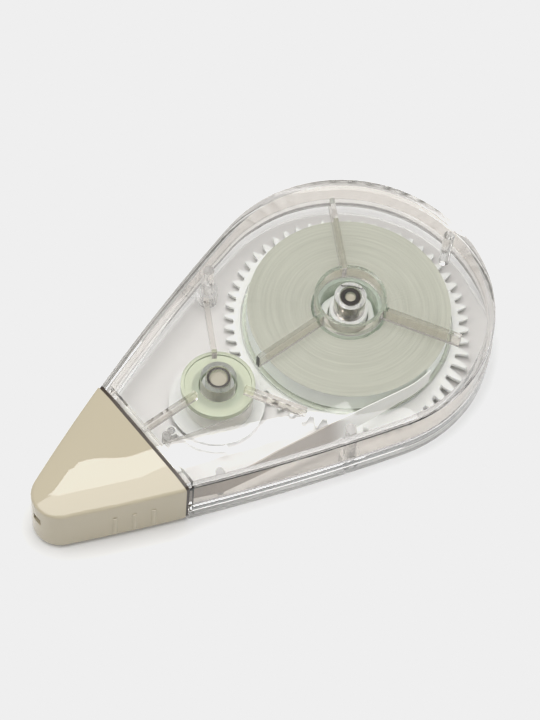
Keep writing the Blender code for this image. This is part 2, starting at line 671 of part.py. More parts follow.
def make_tip_cap(material):
    """The hollow nose cap, open at its back, with grip ribs on its sides and a notch in its nose."""
    back = CAP_BACK
    profile = bottom_edge_profile(CAP_BOTTOM_RADIUS) + edge_profile()
    cap = loft("tip_cap", [at_height(OUTLINE.nose(inset, back), z) for inset, z in profile])
    grips = []
    for side in (-1.0, 1.0):
        for i in range(CAP_GRIP_COUNT):
            angle = OUTLINE.cut_angle(back - CAP_GRIP_FIRST - CAP_GRIP_PITCH * i, 0.0)
            point = OUTLINE.side_point(angle, CAP_GRIP_RADIUS - CAP_GRIP_PROUD)
            centre = (point.x, side * point.y)
            low = CAP_GRIP_MIDDLE - CAP_GRIP_HEIGHT / 2.0
            high = CAP_GRIP_MIDDLE + CAP_GRIP_HEIGHT / 2.0
            grips.append(cylinder("grip", centre, CAP_GRIP_RADIUS, low, high, SMALL_STEPS))
    combine(cap, grips, "UNION")
    roof = COLLAR_TOP + CAP_GAP
    hollow = prism("hollow", OUTLINE.nose(CAP_WALL, back + CAP_WALL), CAP_FLOOR, roof)
    notch_start = (NOSE_X - NOSE_RADIUS - CAP_WALL, 0.0)
    notch_low = CAP_NOTCH_MIDDLE - CAP_NOTCH_HEIGHT / 2.0
    notch = bar("notch", notch_start, (NOSE_X, 0.0), CAP_NOTCH_WIDTH, notch_low, notch_low + CAP_NOTCH_HEIGHT)
    combine(cap, [hollow, notch], "DIFFERENCE")
    return finish(cap, material, Vector((back, 0.0, CASE_HEIGHT / 2.0)))


def make_tip_carrier(material):
    """Two tapered plates joined by a spine, with the tape running between them."""
    tail = CARRIER_TAIL_HALF_WIDTH
    nose = CARRIER_NOSE_HALF_WIDTH
    plan = [(CARRIER_NOSE_X, -nose), (CARRIER_BACK, -tail), (CARRIER_BACK, tail), (CARRIER_NOSE_X, nose)]
    carrier = prism("tip_carrier", plan, CARRIER_BOTTOM, CARRIER_LOW)
    upper = prism("upper_plate", plan, CARRIER_HIGH, CARRIER_TOP)
    spine_low = (CARRIER_BOTTOM + CARRIER_LOW) / 2.0
    spine_high = (CARRIER_HIGH + CARRIER_TOP) / 2.0
    spine = bar("spine", (CARRIER_NOSE_X, 0.0), (SPINE_BACK, 0.0), CARRIER_SPINE, spine_low, spine_high)
    combine(carrier, [spine, upper], "UNION")
    return finish(carrier, material)


def make_applicator_tip(material):
    """A wedge that narrows to a rounded edge, with guide flanges above and below the tape."""
    root = TIP_ROOT_THICKNESS / 2.0
    edge = TIP_EDGE_THICKNESS / 2.0
    back = CARRIER_NOSE_X - GAP
    wedge_plan = [(back, root), (TIP_EDGE_X + TIP_STEM, root)]
    wedge_plan += arc_points((TIP_EDGE_X, 0.0), edge, math.pi / 2.0, math.pi, TIP_STEPS)
    wedge_plan += [(TIP_EDGE_X + TIP_STEM, -root), (back, -root)]
    tip = prism("applicator_tip", wedge_plan, CARRIER_BOTTOM, CARRIER_TOP)
    half = CARRIER_NOSE_HALF_WIDTH
    flange_plan = [(back, -half), (back, half), (TIP_EDGE_X + TIP_STEM, root), (TIP_EDGE_X, edge),
                   (TIP_EDGE_X, -edge), (TIP_EDGE_X + TIP_STEM, -root)]
    flange_plan = flange_plan[::-1]
    low = prism("flange", flange_plan, CARRIER_BOTTOM, CARRIER_LOW)
    high = prism("flange", flange_plan, CARRIER_HIGH, CARRIER_TOP)
    combine(tip, [low, high], "UNION")
    return finish(tip, material)


def make_supply_gear(material):
    """The large gear: a toothed rim round a thin web, and a hub that turns on the case's pin."""
    teeth = gear_outline(SUPPLY_AXIS, SUPPLY_TEETH, TAKEUP_BEARING)
    gear = prism("supply_gear", teeth, GEAR_BOTTOM, GEAR_TOP)
    dish = cylinder("dish", SUPPLY_AXIS, FLANGE_RADIUS + GAP, WEB_TOP, TAPE_TOP, COIL_STEPS)
    combine(gear, [dish], "DIFFERENCE")
    hub = cylinder("hub", SUPPLY_AXIS, SUPPLY_HUB_RADIUS, GEAR_BOTTOM, SUPPLY_HUB_TOP)
    combine(gear, [hub], "UNION")
    bore = cylinder("bore", SUPPLY_AXIS, SUPPLY_PIN_RADIUS + GAP, 0.0, CASE_HEIGHT)
    combine(gear, [bore], "DIFFERENCE")
    return finish(gear, material, SUPPLY_AXIS)


def make_supply_core(material):
    """The tape roll's core: a tube with a thin wide flange under the roll."""
    inner = CORE_RADIUS - CORE_WALL
    profile = [
        (inner, FLANGE_BOTTOM),
        (FLANGE_RADIUS, FLANGE_BOTTOM),
        (FLANGE_RADIUS, FLANGE_TOP),
        (CORE_RADIUS, FLANGE_TOP),
        (CORE_RADIUS, CORE_TOP),
        (inner, CORE_TOP),
    ]
    return finish(turned("supply_core", SUPPLY_AXIS, profile, COIL_STEPS), material, SUPPLY_AXIS)


def make_clutch_ring(material):
    """A lobed friction ring on the large gear's hub, inside the core."""
    bottom = FLANGE_BOTTOM
    plan = []
    for i in range(COIL_STEPS):
        angle = TURN * i / COIL_STEPS
        radius = CLUTCH_RADIUS - CLUTCH_LOBE_DEPTH * (1.0 - math.cos(CLUTCH_LOBES * angle)) / 2.0
        plan.append((SUPPLY_AXIS.x + radius * math.cos(angle), SUPPLY_AXIS.y + radius * math.sin(angle)))
    ring = prism("clutch_ring", plan, bottom, bottom + CLUTCH_HEIGHT)
    bore = cylinder("bore", SUPPLY_AXIS, SUPPLY_HUB_RADIUS + GAP, 0.0, CASE_HEIGHT)
    combine(ring, [bore], "DIFFERENCE")
    return finish(ring, material, SUPPLY_AXIS)


def make_supply_coil(material):
    """The roll's tight layers as one ring, below the layer edges that show."""
    coil = tube("supply_coil", SUPPLY_AXIS, CORE_RADIUS + GAP, COIL_RADIUS, TAPE_BOTTOM, COIL_TOP, COIL_STEPS)
    return finish(coil, material, SUPPLY_AXIS)


def make_supply_winding(material):
    """The layer edges that show on top of the roll: one unbroken strip from the core outwards."""
    inner = CORE_RADIUS + GAP + WINDING_STRIP / 2.0
    outer = COIL_RADIUS - WINDING_STRIP / 2.0
    start = feed_leave() + COIL_WRAP + TURN * WINDING_TURNS
    path = spiral_points(SUPPLY_AXIS, inner, outer, start, -WINDING_TURNS)
    print(f"supply_winding: least gap to itself {least_gap(path, WINDING_STRIP) / MM:.2f} mm")
    winding = strip("supply_winding", path, WINDING_STRIP, WINDING_BOTTOM, TAPE_TOP)
    return finish(winding, material, SUPPLY_AXIS)


def make_takeup_gear(material):
    """The small gear, its hub and the round shroud over its teeth. A gap of them faces a large tooth."""
    phase = TAKEUP_BEARING + math.pi + math.pi / TAKEUP_TEETH
    teeth = gear_outline(TAKEUP_AXIS, TAKEUP_TEETH, phase)
    gear = prism("takeup_gear", teeth, GEAR_BOTTOM, GEAR_TOP)
    neck_low = GEAR_BOTTOM + GEAR_THICKNESS / 2.0
    neck_high = SHROUD_BOTTOM + SHROUD_THICKNESS / 2.0
    neck = cylinder("neck", TAKEUP_AXIS, SHROUD_NECK, neck_low, neck_high)
    shroud = cylinder("shroud", TAKEUP_AXIS, SHROUD_RADIUS, SHROUD_BOTTOM, SHROUD_TOP, COIL_STEPS)
    hub = cylinder("hub", TAKEUP_AXIS, TAKEUP_HUB_RADIUS, GEAR_BOTTOM, TAKEUP_HUB_TOP)
    combine(gear, [neck, shroud, hub], "UNION")
    bore = cylinder("bore", TAKEUP_AXIS, TAKEUP_PIN_RADIUS + GAP, 0.0, CASE_HEIGHT)
    combine(gear, [bore], "DIFFERENCE")
    return finish(gear, material, TAKEUP_AXIS)


def make_takeup_spool(material):
    """The take-up spool: a tube under a disc with a raised rim."""
    profile = [
        (SPOOL_BORE, TAPE_BOTTOM),
        (SPOOL_RADIUS, TAPE_BOTTOM),
        (SPOOL_RADIUS, DISC_BOTTOM),
        (SPOOL_DISC_RADIUS, DISC_BOTTOM),
        (SPOOL_DISC_RADIUS, SPOOL_TOP),
        (SPOOL_DISC_RADIUS - SPOOL_RIM_WALL, SPOOL_TOP),
        (SPOOL_DISC_RADIUS - SPOOL_RIM_WALL, DISC_TOP),
        (SPOOL_BORE, DISC_TOP),
    ]
    return finish(turned("takeup_spool", TAKEUP_AXIS, profile, COIL_STEPS), material, TAKEUP_AXIS)


def make_takeup_coil(material):
    """The first used turns on the spool: one unbroken strip that goes on from the return run."""
    inner = USED_COIL_INNER + STRIP_HALF
    outer = USED_COIL_RADIUS - STRIP_HALF
    path = spiral_points(TAKEUP_AXIS, outer, inner, return_arrive() + SPOOL_WRAP, USED_TURNS)
    print(f"takeup_coil: least gap to itself {least_gap(path, STRIP_THICKNESS) / MM:.2f} mm")
    return finish(strip("takeup_coil", path, STRIP_THICKNESS, TAPE_BOTTOM, TAPE_TOP), material, TAKEUP_AXIS)


def pawl_radius():
    return TAKEUP_TIP + PAWL_TOOTH + GAP + PAWL_WIDTH / 2.0


def pawl_pivot():
    radius = pawl_radius() + PAWL_BOSS_RADIUS - PAWL_WIDTH / 2.0
    return TAKEUP_AXIS.to_2d() + radius * Vector((math.cos(PAWL_START), math.sin(PAWL_START)))


def make_anti_reverse_pawl(material):
    """A curved springy arm on its own pin, with a small tooth beside the small gear's teeth."""
    radius = pawl_radius()
    path = arc_points(TAKEUP_AXIS, radius, PAWL_START, PAWL_SWEEP, PAWL_STEPS)
    pawl = strip("anti_reverse_pawl", path, PAWL_WIDTH, GEAR_BOTTOM, GEAR_TOP)
    boss = cylinder("boss", pawl_pivot(), PAWL_BOSS_RADIUS, GEAR_BOTTOM, GEAR_TOP, SMALL_STEPS)
    end = PAWL_START + PAWL_SWEEP
    tooth_plan = arc_points(TAKEUP_AXIS, radius, end - PAWL_TOOTH_SWEEP, PAWL_TOOTH_SWEEP, 2)
    tooth_plan += arc_points(TAKEUP_AXIS, TAKEUP_TIP + GAP, end, -PAWL_TOOTH_SWEEP / 2.0, 1)
    tooth = prism("tooth", tooth_plan, GEAR_BOTTOM, GEAR_TOP)
    combine(pawl, [boss, tooth], "UNION")
    hole = cylinder("hole", pawl_pivot(), PAWL_PIN_RADIUS + GAP, 0.0, CASE_HEIGHT, SMALL_STEPS)
    combine(pawl, [hole], "DIFFERENCE")
    return finish(pawl, material, Vector((*pawl_pivot(), 0.0)))


def post_beside(start, end, x):
    """A guide post's place on the far side of a straight run of tape, where it crosses x."""
    along = (end - start).normalized()
    side = Vector((-along.y, along.x))
    if side.y < 0.0:
        side.negate()
    crossing = start + (end - start) * (x - start.x) / (end.x - start.x)
    return crossing + side * (GUIDE_POST_RADIUS + GAP + STRIP_HALF)


def guide_posts():
    """Posts on the far sides of the two runs of tape, just inside the case's mouth."""
    used = return_line()
    return [FEED_GUIDE, post_beside(used[1], used[2], RETURN_GUIDE_X)]


def make_feed_tape_run(material):
    """Fresh tape from the roll to the tip, round its edge and back to the carrier's end."""
    path = feed_line() + tip_turn()
    return finish(strip("feed_tape_run", path, STRIP_THICKNESS, TAPE_BOTTOM, TAPE_TOP), material)


def make_return_tape_run(material):
    """Used carrier from the tip back to the take-up spool."""
    path = return_line()
    return finish(strip("return_tape_run", path, STRIP_THICKNESS, TAPE_BOTTOM, TAPE_TOP), material)


def build():
    clear_scene()
    clear_plastic = make_material("clear_plastic", (0.93, 0.93, 0.92), 0.05, 0.25)
    beige = make_material("beige_plastic", (0.58, 0.54, 0.42), 0.35)
    white = make_material("white_plastic", (0.80, 0.80, 0.74), 0.45)
    green = make_material("green_plastic", (0.55, 0.66, 0.52), 0.25)
    fresh_tape = make_material("fresh_tape", (0.47, 0.46, 0.38), 0.5)
    used_tape = make_material("used_tape", (0.66, 0.65, 0.60), 0.5)
    tip_plastic = make_material("tip_plastic", (0.78, 0.77, 0.70), 0.5)

    make_lower_shell(clear_plastic)
    make_upper_shell(clear_plastic)
    make_tip_cap(beige)
    make_tip_carrier(white)
    make_applicator_tip(tip_plastic)
    make_supply_gear(white)
    make_supply_core(green)
    make_clutch_ring(white)
    make_supply_coil(fresh_tape)
    make_supply_winding(fresh_tape)
    make_takeup_gear(white)
    make_takeup_spool(green)
    make_takeup_coil(used_tape)
    make_anti_reverse_pawl(white)
    make_feed_tape_run(fresh_tape)
    make_return_tape_run(used_tape)


build()
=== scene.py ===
"""Looks of a clear correction tape that lies flat: finishes, finer pieces, studio light and camera.

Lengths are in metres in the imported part's frame: +X to the round end, the nose at -X, +Z up.
"""

import json
import math

import bpy
from mathutils import Matrix, Vector

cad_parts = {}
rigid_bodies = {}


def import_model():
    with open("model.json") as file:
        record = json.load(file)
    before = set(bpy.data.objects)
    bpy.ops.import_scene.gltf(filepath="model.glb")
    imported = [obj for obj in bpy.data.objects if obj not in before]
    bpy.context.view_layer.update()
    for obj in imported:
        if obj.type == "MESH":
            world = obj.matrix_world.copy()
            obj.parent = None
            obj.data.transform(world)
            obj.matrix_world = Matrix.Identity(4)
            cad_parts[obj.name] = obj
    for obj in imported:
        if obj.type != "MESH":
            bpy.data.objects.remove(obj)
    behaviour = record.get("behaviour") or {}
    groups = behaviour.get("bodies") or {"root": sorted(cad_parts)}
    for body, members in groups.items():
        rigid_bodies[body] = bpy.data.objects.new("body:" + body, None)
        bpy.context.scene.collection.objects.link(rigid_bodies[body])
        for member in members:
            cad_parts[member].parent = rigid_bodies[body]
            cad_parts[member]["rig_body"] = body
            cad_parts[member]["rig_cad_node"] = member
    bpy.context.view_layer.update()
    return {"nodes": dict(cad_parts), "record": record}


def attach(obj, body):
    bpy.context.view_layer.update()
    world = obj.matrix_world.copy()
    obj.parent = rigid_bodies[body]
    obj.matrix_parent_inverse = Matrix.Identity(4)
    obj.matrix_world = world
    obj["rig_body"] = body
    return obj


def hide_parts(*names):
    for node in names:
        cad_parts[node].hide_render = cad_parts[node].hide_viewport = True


MM = 0.001
TURN = 2.0 * math.pi

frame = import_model()
BODY_OF = {node: body for body, nodes in frame["record"]["behaviour"]["bodies"].items() for node in nodes}

# Camera, as the photograph was taken
CAMERA_AZIMUTH = math.radians(-43.84)
CAMERA_ELEVATION = math.radians(59.82)
CAMERA_ROLL = math.radians(6.19)
CAMERA_PLACE = Vector((-175.0, -185.9, 453.1)) * MM
CAMERA_LENS = 131.04
CAMERA_NEAREST = 0.01
CAMERA_FURTHEST = 20.0

# Studio
FLOOR_DROP = 0.1 * MM
FLOOR_SIZE = 4.0
CEILING_HEIGHT = 613.0 * MM
SOFTBOX_MIDDLE = Vector((-121.0, 76.0)) * MM
SOFTBOX_TURN = math.radians(-10.0)
SOFTBOX_SIZE = (700.0 * MM, 400.0 * MM)
SOFTBOX_WATTS = 3.8
WINDOW_MIDDLE = Vector((127.7, 242.6)) * MM
WINDOW_TURN = math.radians(-16.4)
WINDOW_SIZE = (260.0 * MM, 34.0 * MM)
WINDOW_WATTS = 0.17
FRONT_FILL_PLACE = Vector((420.0, -520.0, 520.0)) * MM
FRONT_FILL_SIZE = (600.0 * MM, 600.0 * MM)
FRONT_FILL_WATTS = 1.2
ROOM_HORIZON = 0.3
ROOM_TOP = 0.55
WHITE_LEVEL = 0.863

# Reels, repeated from the part
SUPPLY_AXIS = Vector((24.425, 0.85)) * MM
TAKEUP_AXIS = Vector((-7.857, 1.921)) * MM
TAPE_LOW = 2.5 * MM
TAPE_HIGH = 7.5 * MM
ROLL_INNER = 7.45 * MM
ROLL_OUTER = 20.5 * MM
ROLL_TURNS = 60
ROLL_END = math.radians(-81.0)
USED_INNER = 5.2 * MM
USED_OUTER = 6.6 * MM
USED_TURNS = 5
USED_END = math.radians(200.0)

# Tape: steps along a wound turn, its thickness as a share of the pitch, and how the free runs are drawn in
STEPS_A_TURN = 80
STRIP_SHARE = 0.9
STRIP_EDGE_SHARE = 0.3
RUN_THINNING = 0.1 * MM

# Painted shade rings at the ends of the two hub pins, under the top: dark rings put where the clear tubes
# show shade
PIN_TOP = 11.6 * MM
PIN_SHADE_HEIGHT = 0.12 * MM
PIN_SHADE_EDGE = PIN_SHADE_HEIGHT / 4.0
SUPPLY_PIN_SHADE_RING = (1.35 * MM, 2.0 * MM)
TAKEUP_PIN_SHADE_RING = (1.84 * MM, 2.3 * MM)
RING_STEPS = 64
PLUG_LOW = 7.6 * MM
PLUG_TOP = 11.1 * MM
SUPPLY_PLUG_RADIUS = 1.06 * MM
TAKEUP_PLUG_RADIUS = 1.8 * MM
PLUG_RIM = 0.3 * MM
PLUG_DISH = 0.25 * MM
PLUG_EDGE = 0.12 * MM
FACES_UP = 0.9

# Band in the split between the cap and the case, painted dark brown as the shade in the gap
CAP_BACK_X = -27.85 * MM
SPLIT_BAND_LENGTH = 0.56 * MM
SPLIT_BAND_SHIFT = 0.63 * MM
SPLIT_BAND_SHARE = Vector((1.0, 0.992, 0.988))
SPLIT_BAND_MIDDLE_Z = 6.62 * MM

# Merging, smoothing and broken edges of copied nodes
MERGE_DISTANCE = 0.001 * MM
FLAT_ANGLE = math.radians(0.3)
SMOOTH_ANGLE = math.radians(32.0)
CASE_SMOOTH_ANGLE = math.radians(12.0)
NORMAL_WEIGHT = 100
SMALL_EDGE = 0.08 * MM
MIDDLE_EDGE = 0.1 * MM
GEAR_EDGE = 0.2 * MM

# Moulded plastic: noise cells in a metre, their detail, and the depth of the wave in most skins
FLOW_SCALE = 45.0
FLOW_DETAIL = 3.0
WAVE_SCALE = 70.0
WAVE_DETAIL = 0.0
GRAIN_SCALE = 2600.0
GRAIN_DETAIL = 2.0
NOISE_MIDDLE = 0.5
SKIN_DEPTH = 0.003 * MM

# How far light spreads inside white plastic
GLOW_RADIUS = (1.0, 1.0, 0.9)
GLOW_DEPTH = 2.0 * MM

# Clear plastic: how it bends light, its drift of tone, how light fades at a slant and how often it may turn
CLEAR_BEND = 1.49
CLEAR_DRIFT = 0.02
SLANT_POWER = 2.0
SLANT_LIGHT = 0.55
LIGHT_TURNS = {
    "max_bounces": 32,
    "glossy_bounces": 16,
    "transmission_bounces": 32,
    "transparent_max_bounces": 32,
}

# Tint of the clear case: ribs and boss are tinted for what is seen through their depth, while the near walls
# and the base are darkened as painted shade; each colour is what one face lets pass
RIB_LOW = 8.2 * MM
RIB_HIGH = 11.8 * MM
RIB_TINT = Vector((0.805, 0.765, 0.72))
BOSS_REACH = 3.8 * MM
BOSS_TINT = Vector((0.985, 0.955, 0.875))
UPRIGHT = 0.35
# Near walls darkened as painted shade; far walls nearly clear
NEAR_WALL_PAINTED_SHADE = Vector((0.60, 0.61, 0.615))
FAR_WALL_TINT = Vector((0.985, 0.985, 0.98))
BASE_HIGH = 0.9 * MM
# Base darkened as painted shadow on the floor seen through it
BASE_PAINTED_SHADOW = Vector((0.76, 0.745, 0.72))
OPEN_TINT = Vector((1.0, 1.0, 1.0))
POLISHED = 0.0
FROSTED = 1.0
FROST_ROUGHNESS = 0.3

# Layers of wound tape seen on edge: rings in a metre, how they blend, and where the edges end at the side
FINE_RINGS = 2400.0
BROAD_RINGS = 620.0
RING_DETAIL = 2.0
FINE_SHARE = 0.75
BROAD_SHARE = 0.25
DARK_LAYER = 0.3
PALE_LAYER = 0.7
LAYERS_LOW = TAPE_HIGH - 0.12 * MM
LAYERS_HIGH = TAPE_HIGH - 0.04 * MM
LAYER_DEPTH = 0.02 * MM

# Where along X the fresh ribbon turns from its brown backing to a pale painted reflection of the lamp over
# its coated face
RIBBON_HIGHLIGHT_SPAN = (4.0 * MM, 10.0 * MM)


def only_select(obj):
    """Make one object the whole selection."""
    bpy.ops.object.select_all(action="DESELECT")
    obj.select_set(True)
    bpy.context.view_layer.objects.active = obj


def edit_all():
    """Open the active mesh for editing, with all of it selected."""
    bpy.ops.object.mode_set(mode="EDIT")
    bpy.ops.mesh.select_all(action="SELECT")


def end_edit():
    """Close the mesh that is being edited."""
    bpy.ops.object.mode_set(mode="OBJECT")


def apply_modifier(obj, kind, **settings):
    """Add a modifier with its settings and apply it."""
    modifier = obj.modifiers.new(kind.lower(), kind)
    for key, value in settings.items():
        setattr(modifier, key, value)
    only_select(obj)
    bpy.ops.object.modifier_apply(modifier=modifier.name)


def break_edges(piece, width, segments=2):
    """Round off the sharp edges of a piece."""
    apply_modifier(piece, "BEVEL", width=width, segments=segments, limit_method="ANGLE",
                   angle_limit=SMOOTH_ANGLE)


def smooth(obj, angle=SMOOTH_ANGLE):
    """Shade round faces smooth, with the flat ones kept flat."""
    only_select(obj)
    bpy.ops.object.shade_smooth_by_angle(angle=angle)
    apply_modifier(obj, "WEIGHTED_NORMAL", keep_sharp=True, weight=NORMAL_WEIGHT)


def copy_of_node(node, name):
    """A copy of a node of the part, with its loose triangles merged into clean faces."""
    only_select(frame["nodes"][node])
    bpy.ops.object.duplicate()
    piece = bpy.context.object
    piece.name = name
    piece.data.name = name
    piece.parent = None
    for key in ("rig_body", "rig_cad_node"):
        del piece[key]
    edit_all()
    bpy.ops.mesh.customdata_custom_splitnormals_clear()
    bpy.ops.mesh.remove_doubles(threshold=MERGE_DISTANCE)
    bpy.ops.mesh.dissolve_limited(angle_limit=FLAT_ANGLE)
    end_edit()
    return piece


def bevelled_copy(node, name, width):
    """A smooth copy of a node with its sharp edges broken."""
    piece = copy_of_node(node, name)
    break_edges(piece, width)
    smooth(piece)
    return piece


def spiral_route(axis, inner, outer, turns, end):
    """Points of a flat spiral that opens clockwise and ends at a bearing."""
    count = int(turns * STEPS_A_TURN)
    route = []
    for i in range(count + 1):
        share = i / count
        radius = inner + (outer - inner) * share
        angle = end + (1.0 - share) * turns * TURN
        route.append((axis.x + radius * math.cos(angle), axis.y + radius * math.sin(angle)))
    return route


def wound_tape(name, axis, inner, outer, turns, end):
    """Tape wound on edge: a line along the spiral, raised to the tape's width and thickened."""
    pitch = (outer - inner) / turns
    thickness = STRIP_SHARE * pitch
    route = spiral_route(axis, inner + thickness / 2.0, outer - thickness / 2.0, turns, end)
    line = bpy.data.curves.new(name, "CURVE")
    line.dimensions = "3D"
    spline = line.splines.new("POLY")
    spline.points.add(len(route) - 1)
    for point, (x, y) in zip(spline.points, route):
        point.co = (x, y, TAPE_LOW, 1.0)
    drawn = bpy.data.objects.new(name, line)
    bpy.context.scene.collection.objects.link(drawn)
    only_select(drawn)
    bpy.ops.object.convert(target="MESH")
    piece = bpy.context.object
    edit_all()
    bpy.ops.mesh.extrude_region_move(TRANSFORM_OT_translate={"value": (0.0, 0.0, TAPE_HIGH - TAPE_LOW)})
    end_edit()
    apply_modifier(piece, "SOLIDIFY", thickness=thickness, offset=0.0)
    break_edges(piece, STRIP_EDGE_SHARE * thickness, segments=1)
    edit_all()
    bpy.ops.mesh.normals_make_consistent(inside=False)
    end_edit()
    smooth(piece)
    return piece


def thinned_run(node, name):
    """A free run of tape, drawn in from the part's strip towards its middle."""
    piece = copy_of_node(node, name)
    edit_all()
    bpy.ops.transform.shrink_fatten(value=-RUN_THINNING)
    end_edit()
    smooth(piece)
    return piece


def added_primitive(name):
    """Name the primitive that was just added, and settle its place into its mesh."""
    piece = bpy.context.object
    piece.name = name
    bpy.ops.object.transform_apply(location=True, rotation=True, scale=True)
    return piece


def pin_shade_ring(name, axis, ring):
    """A dark ring of painted shade, standing for the dark ring that the end of a clear tube shows because
    little light leaves it there.
    """
    inner, outer = ring
    bpy.ops.object.select_all(action="DESELECT")
    bpy.ops.mesh.primitive_circle_add(vertices=RING_STEPS, radius=outer, location=(*axis, PIN_TOP))
    piece = added_primitive(name)
    edit_all()
    bpy.ops.mesh.edge_face_add()
    bpy.ops.mesh.inset(thickness=outer - inner)
    bpy.ops.mesh.delete(type="ONLY_FACE")
    end_edit()
    apply_modifier(piece, "SOLIDIFY", thickness=PIN_SHADE_HEIGHT, offset=1.0)
    break_edges(piece, PIN_SHADE_EDGE)
    smooth(piece)
    return piece


def pin_plug(name, axis, radius):
    """The dished plug in the bore of a hub pin."""
    bpy.ops.object.select_all(action="DESELECT")
    bpy.ops.mesh.primitive_cylinder_add(vertices=RING_STEPS, radius=radius, depth=PLUG_TOP - PLUG_LOW,
                                        location=(*axis, (PLUG_LOW + PLUG_TOP) / 2.0))
    piece = added_primitive(name)
    bpy.ops.object.mode_set(mode="EDIT")
    bpy.ops.mesh.select_all(action="DESELECT")
    end_edit()
    for face in piece.data.polygons:
        face.select = face.normal.z > FACES_UP
    bpy.ops.object.mode_set(mode="EDIT")
    bpy.ops.mesh.inset(thickness=PLUG_RIM)
    bpy.ops.transform.translate(value=(0.0, 0.0, -PLUG_DISH))
    end_edit()
    break_edges(piece, PLUG_EDGE)
    smooth(piece)
    return piece


def split_shade_band():
    """The band in the split, painted dark brown as shade: a slice of the cap's back edge, moved into the gap
    and drawn in.
    """
    piece = copy_of_node("tip_cap", "split_shade_band")
    front = (CAP_BACK_X - SPLIT_BAND_LENGTH, 0.0, 0.0)
    edit_all()
    bpy.ops.mesh.bisect(plane_co=front, plane_no=(1.0, 0.0, 0.0), use_fill=True, clear_inner=True)
    bpy.ops.mesh.select_all(action="SELECT")
    bpy.ops.transform.translate(value=(SPLIT_BAND_SHIFT, 0.0, 0.0))
    bpy.ops.mesh.normals_make_consistent(inside=False)
    end_edit()
    middle = Matrix.Translation((0.0, 0.0, SPLIT_BAND_MIDDLE_Z))
    piece.data.transform(middle @ Matrix.Diagonal((*SPLIT_BAND_SHARE, 1.0)) @ middle.inverted())
    smooth(piece)
    return piece


def add_node(tree, kind, values=None, **settings):
    """Add a shader node with its settings and the values of its inputs."""
    node = tree.nodes.new("ShaderNode" + kind)
    for key, setting in settings.items():
        setattr(node, key, setting)
    for socket, value in (values or {}).items():
        node.inputs[socket].default_value = value
    return node


def new_group(name, takes, gives):
    """A node group with its inputs and outputs, each given as a name and a kind."""
    group = bpy.data.node_groups.new(name, "ShaderNodeTree")
    for in_out, sockets in (("INPUT", takes), ("OUTPUT", gives)):
        for socket, kind in sockets.items():
            group.interface.new_socket(socket, in_out=in_out, socket_type="NodeSocket" + kind)
    given = group.nodes.new("NodeGroupInput")
    made = group.nodes.new("NodeGroupOutput")
    return group, given, made


def new_material(name):
    """A material with its Principled shader, ready for more nodes."""
    material = bpy.data.materials.new(name)
    material.use_nodes = True
    tree = material.node_tree
    return material, tree, tree.nodes["Principled BSDF"]


def moulded_group():
    """Shared finish of moulded plastic: a soft drift of tone and roughness, a slow wave and a fine grain."""
    takes = {
        "Tone": "Color",
        "Drift": "Float",
        "Roughness Low": "Float",
        "Roughness High": "Float",
        "Grain Share": "Float",
    }
    gives = {"Color": "Color", "Roughness": "Float", "Height": "Float"}
    group, given, made = new_group("moulded_plastic", takes, gives)
    links = group.links
    place = add_node(group, "TexCoord")
    flow = add_node(group, "TexNoise", {"Scale": FLOW_SCALE, "Detail": FLOW_DETAIL})
    wave = add_node(group, "TexNoise", {"Scale": WAVE_SCALE, "Detail": WAVE_DETAIL})
    grain = add_node(group, "TexNoise", {"Scale": GRAIN_SCALE, "Detail": GRAIN_DETAIL})
    for pattern in (flow, wave, grain):
        links.new(place.outputs["Object"], pattern.inputs["Vector"])

    # The tone is multiplied by one plus the drift times the flow's distance from its middle
    centred = add_node(group, "Math", {1: NOISE_MIDDLE}, operation="SUBTRACT")
    share = add_node(group, "Math", {2: 1.0}, operation="MULTIPLY_ADD")
    shaded = add_node(group, "HueSaturation")
    links.new(flow.outputs["Fac"], centred.inputs[0])
    links.new(centred.outputs["Value"], share.inputs[0])
    links.new(given.outputs["Drift"], share.inputs[1])
    links.new(share.outputs["Value"], shaded.inputs["Value"])
    links.new(given.outputs["Tone"], shaded.inputs["Color"])
    links.new(shaded.outputs["Color"], made.inputs["Color"])

    # The roughness follows the flow, and the height is the wave with a share of grain
    rough = add_node(group, "MapRange")
    relief = add_node(group, "Math", operation="MULTIPLY_ADD")
    links.new(flow.outputs["Fac"], rough.inputs["Value"])
    links.new(given.outputs["Roughness Low"], rough.inputs["To Min"])
    links.new(given.outputs["Roughness High"], rough.inputs["To Max"])
    links.new(rough.outputs["Result"], made.inputs["Roughness"])
    links.new(grain.outputs["Fac"], relief.inputs[0])
    links.new(given.outputs["Grain Share"], relief.inputs[1])
    links.new(wave.outputs["Fac"], relief.inputs[2])
    links.new(relief.outputs["Value"], made.inputs["Height"])
    return group


MOULDED = moulded_group()


def place_moulded(tree, shader, tone, drift, roughness, wave_depth, grain_share):
    """The shared moulded finish with this material's own values, joined to its shader."""
    finish = tree.nodes.new("ShaderNodeGroup")
    finish.node_tree = MOULDED
    finish.inputs["Tone"].default_value = (*tone, 1.0)
    finish.inputs["Drift"].default_value = drift
    finish.inputs["Roughness Low"].default_value = roughness[0]
    finish.inputs["Roughness High"].default_value = roughness[1]
    finish.inputs["Grain Share"].default_value = grain_share
    bump = add_node(tree, "Bump", {"Distance": wave_depth})
    tree.links.new(finish.outputs["Height"], bump.inputs["Height"])
    tree.links.new(bump.outputs["Normal"], shader.inputs["Normal"])
    tree.links.new(finish.outputs["Color"], shader.inputs["Base Color"])
    tree.links.new(finish.outputs["Roughness"], shader.inputs["Roughness"])


def opaque_plastic(name, tone, drift, roughness, wave_depth=SKIN_DEPTH, grain_share=1.0, glow=0.0):
    """A moulded plastic that light does not pass, with a share of light that spreads under its skin."""
    material, tree, shader = new_material(name)
    place_moulded(tree, shader, tone, drift, roughness, wave_depth, grain_share)
    shader.inputs["Subsurface Weight"].default_value = glow
    shader.inputs["Subsurface Radius"].default_value = GLOW_RADIUS
    shader.inputs["Subsurface Scale"].default_value = GLOW_DEPTH
    return material


